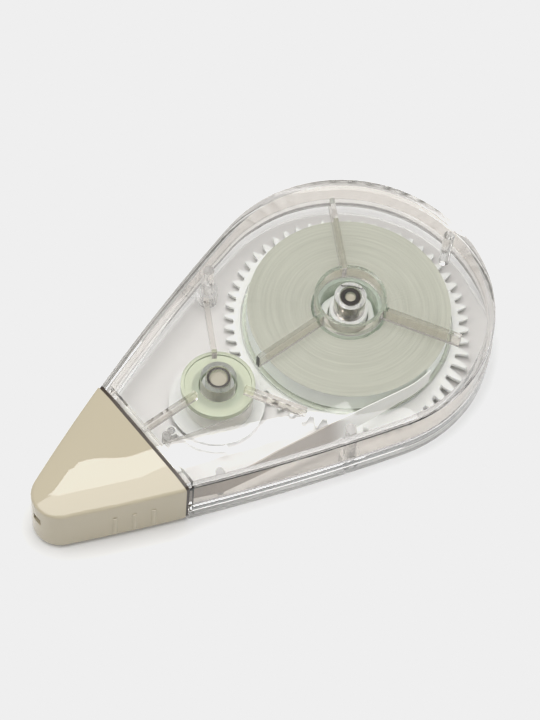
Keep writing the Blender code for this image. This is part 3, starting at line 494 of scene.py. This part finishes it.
def face_tint_and_shade(face):
    """The tint of one face of the case, with painted shade on the near walls and the base, and how frosted it
    is.
    """
    place = face.center
    if RIB_LOW < place.z < RIB_HIGH:
        if (place.xy - TAKEUP_AXIS).length < BOSS_REACH:
            return BOSS_TINT, FROSTED
        return RIB_TINT, POLISHED
    if abs(face.normal.z) < UPRIGHT:
        # Painted shade: upright walls on the near side are darkened, the more so the more they face -Y
        near = abs(face.normal.y) if place.y < 0.0 else 0.0
        return FAR_WALL_TINT.lerp(NEAR_WALL_PAINTED_SHADE, near), POLISHED
    # Painted shadow: the base is darkened for the shade the reels cast on the floor under the case
    if place.z < BASE_HIGH:
        return BASE_PAINTED_SHADOW, FROSTED
    return OPEN_TINT, POLISHED


def tint_and_shade_faces(shell):
    """Keep each face's tint and painted shade on the shell, with its frost as the fourth value."""
    tints = shell.data.attributes.new("face_tint_and_shade", "FLOAT_COLOR", "FACE")
    for face, kept in zip(shell.data.polygons, tints.data):
        tint, frost = face_tint_and_shade(face)
        kept.color = (*tint, frost)


def show_face_tints_and_shade(tree, shader):
    """Let a finish show the tint, the painted shade and the frost that are kept on each face."""
    colour = shader.inputs["Base Color"].links[0].from_socket
    roughness = shader.inputs["Roughness"].links[0].from_socket
    kept = add_node(tree, "Attribute", attribute_name="face_tint_and_shade")
    shade = add_node(tree, "Mix", {"Factor": 1.0}, data_type="RGBA", blend_type="MULTIPLY")
    frost = add_node(tree, "Mix", {"B": FROST_ROUGHNESS}, data_type="FLOAT")
    tree.links.new(colour, shade.inputs["A"])
    tree.links.new(kept.outputs["Color"], shade.inputs["B"])
    tree.links.new(shade.outputs["Result"], shader.inputs["Base Color"])
    tree.links.new(kept.outputs["Alpha"], frost.inputs["Factor"])
    tree.links.new(roughness, frost.inputs["A"])
    tree.links.new(frost.outputs["Result"], shader.inputs["Roughness"])


def let_light_through(tree, shader, passed):
    """Light what lies under a clear shader, with a little loss at each face and more at a slant."""
    slanted = (*(SLANT_LIGHT * share for share in passed), 1.0)
    facing = add_node(tree, "LayerWeight")
    slant = add_node(tree, "Math", {1: SLANT_POWER}, operation="POWER")
    light = add_node(tree, "Mix", {"A": (*passed, 1.0), "B": slanted}, data_type="RGBA")
    open_way = add_node(tree, "BsdfTransparent")
    tree.links.new(facing.outputs["Facing"], slant.inputs[0])
    tree.links.new(slant.outputs["Value"], light.inputs["Factor"])
    tree.links.new(light.outputs["Result"], open_way.inputs["Color"])
    path = add_node(tree, "LightPath")
    lighting = add_node(tree, "Math", operation="MAXIMUM")
    choose = add_node(tree, "MixShader")
    tree.links.new(path.outputs["Is Shadow Ray"], lighting.inputs[0])
    tree.links.new(path.outputs["Is Diffuse Ray"], lighting.inputs[1])
    tree.links.new(lighting.outputs["Value"], choose.inputs["Fac"])
    tree.links.new(shader.outputs["BSDF"], choose.inputs[1])
    tree.links.new(open_way.outputs["BSDF"], choose.inputs[2])
    tree.links.new(choose.outputs["Shader"], tree.nodes["Material Output"].inputs["Surface"])


def clear_plastic(name, tone, roughness, passed, clearness, tint, density, wave_depth=SKIN_DEPTH,
                  faces_tinted=False):
    """A clear moulding, tinted by its depth and, if asked, by what is kept on its faces."""
    material, tree, shader = new_material(name)
    place_moulded(tree, shader, tone, CLEAR_DRIFT, roughness, wave_depth, grain_share=0.0)
    if faces_tinted:
        show_face_tints_and_shade(tree, shader)
    shader.inputs["Transmission Weight"].default_value = clearness
    shader.inputs["IOR"].default_value = CLEAR_BEND
    let_light_through(tree, shader, passed)
    depth = add_node(tree, "VolumeAbsorption", {"Color": (*tint, 1.0), "Density": density})
    tree.links.new(depth.outputs["Volume"], tree.nodes["Material Output"].inputs["Volume"])
    return material


def layer_group():
    """Shared look of tape layers seen on edge: fine and broad rings of tone about an axis, and the height."""
    takes = {"Axis": "Vector"}
    gives = {"Fine": "Float", "Broad": "Float", "Level": "Float"}
    group, given, made = new_group("tape_layers", takes, gives)
    links = group.links
    place = add_node(group, "TexCoord")
    centred = add_node(group, "VectorMath", operation="SUBTRACT")
    parts = add_node(group, "SeparateXYZ")
    flat = add_node(group, "CombineXYZ")
    radius = add_node(group, "VectorMath", operation="LENGTH")
    bearing = add_node(group, "VectorMath", operation="NORMALIZE")
    bearing_parts = add_node(group, "SeparateXYZ")
    links.new(place.outputs["Object"], centred.inputs[0])
    links.new(given.outputs["Axis"], centred.inputs[1])
    links.new(centred.outputs["Vector"], parts.inputs["Vector"])
    links.new(parts.outputs["X"], flat.inputs["X"])
    links.new(parts.outputs["Y"], flat.inputs["Y"])
    links.new(parts.outputs["Z"], made.inputs["Level"])
    links.new(flat.outputs["Vector"], radius.inputs[0])
    links.new(flat.outputs["Vector"], bearing.inputs[0])
    links.new(bearing.outputs["Vector"], bearing_parts.inputs["Vector"])

    # The noise runs along the bearing and, stretched, along the radius, so its cells become rings
    for output, rings_a_metre in (("Fine", FINE_RINGS), ("Broad", BROAD_RINGS)):
        stretched = add_node(group, "Math", {1: rings_a_metre}, operation="MULTIPLY")
        ring_place = add_node(group, "CombineXYZ")
        rings = add_node(group, "TexNoise", {"Scale": 1.0, "Detail": RING_DETAIL})
        links.new(radius.outputs["Value"], stretched.inputs[0])
        links.new(bearing_parts.outputs["X"], ring_place.inputs["X"])
        links.new(bearing_parts.outputs["Y"], ring_place.inputs["Y"])
        links.new(stretched.outputs["Value"], ring_place.inputs["Z"])
        links.new(ring_place.outputs["Vector"], rings.inputs["Vector"])
        links.new(rings.outputs["Fac"], made.inputs[output])
    return group


LAYERS = layer_group()


def tape_on_edge(name, axis, dark, pale, liner, roughness):
    """Wound tape: ringed layer edges on top, and the smooth outer face of the last turn at the side."""
    material, tree, shader = new_material(name)
    links = tree.links
    layers = tree.nodes.new("ShaderNodeGroup")
    layers.node_tree = LAYERS
    layers.inputs["Axis"].default_value = (*axis, 0.0)

    # Colour of the layer edges
    broad = add_node(tree, "Math", {1: BROAD_SHARE}, operation="MULTIPLY")
    blend = add_node(tree, "Math", {1: FINE_SHARE}, operation="MULTIPLY_ADD")
    edges = add_node(tree, "ValToRGB")
    for stop, position, tone in zip(edges.color_ramp.elements, (DARK_LAYER, PALE_LAYER), (dark, pale)):
        stop.position = position
        stop.color = (*tone, 1.0)
    links.new(layers.outputs["Broad"], broad.inputs[0])
    links.new(layers.outputs["Fine"], blend.inputs[0])
    links.new(broad.outputs["Value"], blend.inputs[2])
    links.new(blend.outputs["Value"], edges.inputs["Fac"])

    # The edges show on top, and the liner below it
    on_top = add_node(tree, "MapRange", {"From Min": LAYERS_LOW, "From Max": LAYERS_HIGH})
    colour = add_node(tree, "Mix", {"A": (*liner, 1.0)}, data_type="RGBA")
    links.new(layers.outputs["Level"], on_top.inputs["Value"])
    links.new(on_top.outputs["Result"], colour.inputs["Factor"])
    links.new(edges.outputs["Color"], colour.inputs["B"])
    links.new(colour.outputs["Result"], shader.inputs["Base Color"])

    # Roughness and relief of the layers
    rough = add_node(tree, "MapRange", {"To Min": roughness[0], "To Max": roughness[1]})
    bump = add_node(tree, "Bump", {"Distance": LAYER_DEPTH})
    links.new(layers.outputs["Fine"], rough.inputs["Value"])
    links.new(rough.outputs["Result"], shader.inputs["Roughness"])
    links.new(layers.outputs["Fine"], bump.inputs["Height"])
    links.new(bump.outputs["Normal"], shader.inputs["Normal"])
    return material


def ribbon_with_painted_highlight(name, backing, drift, lit_coated_face, roughness):
    """The fresh tape: brown backing towards the nose, turning pale by the roll, where a painted reflection of
    the lamp lies over its coated face.
    """
    material, tree, shader = new_material(name)
    place_moulded(tree, shader, backing, drift, roughness, SKIN_DEPTH, grain_share=1.0)
    brown = shader.inputs["Base Color"].links[0].from_socket
    place = add_node(tree, "TexCoord")
    parts = add_node(tree, "SeparateXYZ")
    along = add_node(tree, "MapRange", {"From Min": RIBBON_HIGHLIGHT_SPAN[0], "From Max": RIBBON_HIGHLIGHT_SPAN[1]},
                     interpolation_type="SMOOTHSTEP")
    # The pale end is a painted highlight: the lamp's reflection laid into the colour of the coated face
    colour = add_node(tree, "Mix", {"B": (*lit_coated_face, 1.0)}, data_type="RGBA")
    tree.links.new(place.outputs["Object"], parts.inputs["Vector"])
    tree.links.new(parts.outputs["X"], along.inputs["Value"])
    tree.links.new(along.outputs["Result"], colour.inputs["Factor"])
    tree.links.new(brown, colour.inputs["A"])
    tree.links.new(colour.outputs["Result"], shader.inputs["Base Color"])
    return material


# Finishes
CLEAR = clear_plastic(
    "clear_plastic", tone=(0.99, 0.985, 0.98), roughness=(0.0, 0.02), passed=(0.99, 0.99, 0.99),
    clearness=1.0, tint=(0.72, 0.68, 0.63), density=18.0, wave_depth=0.006 * MM, faces_tinted=True)
GREEN = clear_plastic(
    "green_plastic", tone=(0.705, 0.725, 0.57), roughness=(0.2, 0.32), passed=(0.95, 0.97, 0.93),
    clearness=0.55, tint=(0.5, 0.8, 0.68), density=80.0)
CORE_GREEN = clear_plastic(
    "core_green", tone=(0.85, 0.88, 0.78), roughness=(0.2, 0.32), passed=(0.97, 0.985, 0.96),
    clearness=0.7, tint=(0.5, 0.8, 0.68), density=50.0)
CARRIER = clear_plastic(
    "used_carrier", tone=(0.96, 0.94, 0.91), roughness=(0.15, 0.25), passed=(0.96, 0.95, 0.94),
    clearness=0.9, tint=(0.8, 0.75, 0.7), density=50.0)
BEIGE = opaque_plastic(
    "beige_plastic", tone=(0.515, 0.457, 0.335), drift=0.04, roughness=(0.0, 0.015), wave_depth=0.08 * MM,
    grain_share=0.0003)
WHITE = opaque_plastic(
    "white_plastic", tone=(0.88, 0.88, 0.82), drift=0.05, roughness=(0.35, 0.45), glow=0.65)
# Near-black finish of the painted shade rings at the pin ends
PIN_SHADE = opaque_plastic("pin_shade", tone=(0.035, 0.028, 0.022), drift=0.3, roughness=(0.15, 0.25))
PLUG_OLIVE = opaque_plastic("plug_olive", tone=(0.45, 0.42, 0.32), drift=0.1, roughness=(0.2, 0.3))
# Dark brown of the painted shade in the split between the cap and the case
SPLIT_SHADE_BROWN = opaque_plastic("split_shade_brown", tone=(0.05, 0.034, 0.024), drift=0.2, roughness=(0.3, 0.4))
PALE_FLOOR = opaque_plastic(
    "pale_floor", tone=(0.88, 0.88, 0.88), drift=0.0, roughness=(0.7, 0.8), wave_depth=0.0, grain_share=0.0)
ROLL = tape_on_edge(
    "tape_roll", SUPPLY_AXIS, dark=(0.50, 0.505, 0.42), pale=(0.63, 0.635, 0.54), liner=(0.93, 0.97, 0.92),
    roughness=(0.35, 0.5))
USED = tape_on_edge(
    "used_turns", TAKEUP_AXIS, dark=(0.6, 0.6, 0.52), pale=(0.75, 0.75, 0.68), liner=(0.92, 0.92, 0.86),
    roughness=(0.35, 0.5))
# Fresh ribbon, with a painted highlight near the roll
BACKING_AND_HIGHLIGHT = ribbon_with_painted_highlight(
    "tape_backing_and_highlight", backing=(0.42, 0.36, 0.30), drift=0.12, lit_coated_face=(0.95, 0.95, 0.90), roughness=(0.3, 0.4))


def give_finish(piece, material):
    """Make one finish the only one of a piece."""
    piece.data.materials.clear()
    piece.data.materials.append(material)


def dress(piece, material, slot, *nodes):
    """Give a piece its finish, and let it stand for nodes of the part and move with them."""
    give_finish(piece, material)
    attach(piece, BODY_OF[nodes[0]])
    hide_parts(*nodes)


def dress_trim(piece, material):
    """Give a trim that stands for no node its finish, and let it move with the case."""
    give_finish(piece, material)
    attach(piece, "case")


def make_pieces():
    """The trims of the case, finer copies of the part's nodes and the wound tape, each with its finish."""
    # The painted-shade band is cut from the cap's node, so it is made before the cap is dressed
    dress_trim(split_shade_band(), SPLIT_SHADE_BROWN)
    for name, axis, radius in (("supply_pin_plug", SUPPLY_AXIS, SUPPLY_PLUG_RADIUS),
                               ("takeup_pin_plug", TAKEUP_AXIS, TAKEUP_PLUG_RADIUS)):
        dress_trim(pin_plug(name, axis, radius), PLUG_OLIVE)

    dress(bevelled_copy("tip_cap", "nose_cap", MIDDLE_EDGE), BEIGE, "beige_plastic", "tip_cap")
    for node, name in (("upper_shell", "case_top"), ("lower_shell", "case_base")):
        shell = copy_of_node(node, name)
        smooth(shell, CASE_SMOOTH_ANGLE)
        tint_and_shade_faces(shell)
        dress(shell, CLEAR, "clear_plastic", node)
    for node in ("tip_carrier", "clutch_ring", "takeup_gear", "anti_reverse_pawl"):
        dress(bevelled_copy(node, "fine_" + node, SMALL_EDGE), WHITE, "white_plastic", node)
    dress(bevelled_copy("supply_gear", "fine_supply_gear", GEAR_EDGE), WHITE, "white_plastic", "supply_gear")
    dress(bevelled_copy("applicator_tip", "fine_tip", SMALL_EDGE), WHITE, "tip_plastic", "applicator_tip")
    for node, material in (("supply_core", CORE_GREEN), ("takeup_spool", GREEN)):
        dress(bevelled_copy(node, "fine_" + node, MIDDLE_EDGE), material, "green_plastic", node)

    roll = wound_tape("tape_roll", SUPPLY_AXIS, ROLL_INNER, ROLL_OUTER, ROLL_TURNS, ROLL_END)
    dress(roll, ROLL, "fresh_tape", "supply_coil", "supply_winding")
    used = wound_tape("used_turns", TAKEUP_AXIS, USED_INNER, USED_OUTER, USED_TURNS, USED_END)
    dress(used, USED, "used_tape", "takeup_coil")
    dress(thinned_run("feed_tape_run", "feed_ribbon"), BACKING_AND_HIGHLIGHT, "fresh_tape", "feed_tape_run")
    dress(thinned_run("return_tape_run", "return_ribbon"), CARRIER, "used_tape", "return_tape_run")

    # Rings of painted shade at the ends of the hub pins
    for name, axis, ring in (("supply_pin_shade_ring", SUPPLY_AXIS, SUPPLY_PIN_SHADE_RING),
                             ("takeup_pin_shade_ring", TAKEUP_AXIS, TAKEUP_PIN_SHADE_RING)):
        dress_trim(pin_shade_ring(name, axis, ring), PIN_SHADE)


def make_floor():
    """The plain pale floor."""
    bpy.ops.object.select_all(action="DESELECT")
    bpy.ops.mesh.primitive_plane_add(size=FLOOR_SIZE, location=(0.0, 0.0, -FLOOR_DROP))
    floor = bpy.context.object
    floor.name = "studio_floor"
    give_finish(floor, PALE_FLOOR)


def flat_lamp(name, shape, size, watts, place, turn):
    """A flat lamp at a place. It shines straight down when it is not turned."""
    lamp = bpy.data.lights.new(name, "AREA")
    lamp.shape = shape
    lamp.size, lamp.size_y = size
    lamp.energy = watts
    placed = bpy.data.objects.new(name, lamp)
    placed.location = place
    placed.rotation_euler = turn
    bpy.context.scene.collection.objects.link(placed)


def make_lamps():
    """A large softbox, a narrow bright window that mirrors across the case, and a fill from the front."""
    flat_lamp("softbox", "RECTANGLE", SOFTBOX_SIZE, SOFTBOX_WATTS,
              place=(*SOFTBOX_MIDDLE, CEILING_HEIGHT), turn=(0.0, 0.0, SOFTBOX_TURN))
    flat_lamp("window", "ELLIPSE", WINDOW_SIZE, WINDOW_WATTS,
              place=(*WINDOW_MIDDLE, CEILING_HEIGHT), turn=(0.0, 0.0, WINDOW_TURN))
    flat_lamp("front_fill", "SQUARE", FRONT_FILL_SIZE, FRONT_FILL_WATTS,
              place=FRONT_FILL_PLACE, turn=(-FRONT_FILL_PLACE).to_track_quat("-Z", "Y").to_euler())


def make_room():
    """A grey room, darker towards the horizon."""
    world = bpy.data.worlds.new("grey_room")
    world.use_nodes = True
    tree = world.node_tree
    place = add_node(tree, "TexCoord")
    parts = add_node(tree, "SeparateXYZ")
    shade = add_node(tree, "MapRange", {"To Min": ROOM_HORIZON, "To Max": ROOM_TOP})
    tree.links.new(place.outputs["Generated"], parts.inputs["Vector"])
    tree.links.new(parts.outputs["Z"], shade.inputs["Value"])
    tree.links.new(shade.outputs["Result"], tree.nodes["Background"].inputs["Color"])
    bpy.context.scene.world = world


def set_white():
    """A view whose white stops at the photograph's white. The fourth curve is the one for all colours."""
    view = bpy.context.scene.view_settings
    view.view_transform = "Standard"
    view.use_curve_mapping = True
    view.curve_mapping.extend = "HORIZONTAL"
    all_colours = view.curve_mapping.curves[3]
    all_colours.points[1].location = (1.0, WHITE_LEVEL)
    view.curve_mapping.update()


def make_camera():
    """The camera at the photograph's place and angle."""
    side = Vector((math.cos(CAMERA_AZIMUTH), math.sin(CAMERA_AZIMUTH), 0.0))
    back = Vector((
        math.sin(CAMERA_AZIMUTH) * math.cos(CAMERA_ELEVATION),
        -math.cos(CAMERA_AZIMUTH) * math.cos(CAMERA_ELEVATION),
        math.sin(CAMERA_ELEVATION),
    ))
    up = back.cross(side)
    right = side * math.cos(CAMERA_ROLL) + up * math.sin(CAMERA_ROLL)
    top = up * math.cos(CAMERA_ROLL) - side * math.sin(CAMERA_ROLL)
    turn = Matrix((right, top, back)).transposed()
    data = bpy.data.cameras.new("camera")
    data.lens = CAMERA_LENS
    data.clip_start = CAMERA_NEAREST
    data.clip_end = CAMERA_FURTHEST
    camera = bpy.data.objects.new("camera", data)
    camera.matrix_world = Matrix.Translation(CAMERA_PLACE) @ turn.to_4x4()
    bpy.context.scene.collection.objects.link(camera)
    bpy.context.scene.camera = camera


make_pieces()
make_floor()
make_lamps()
make_room()
set_white()
make_camera()
for setting, turns in LIGHT_TURNS.items():
    setattr(bpy.context.scene.cycles, setting, turns)
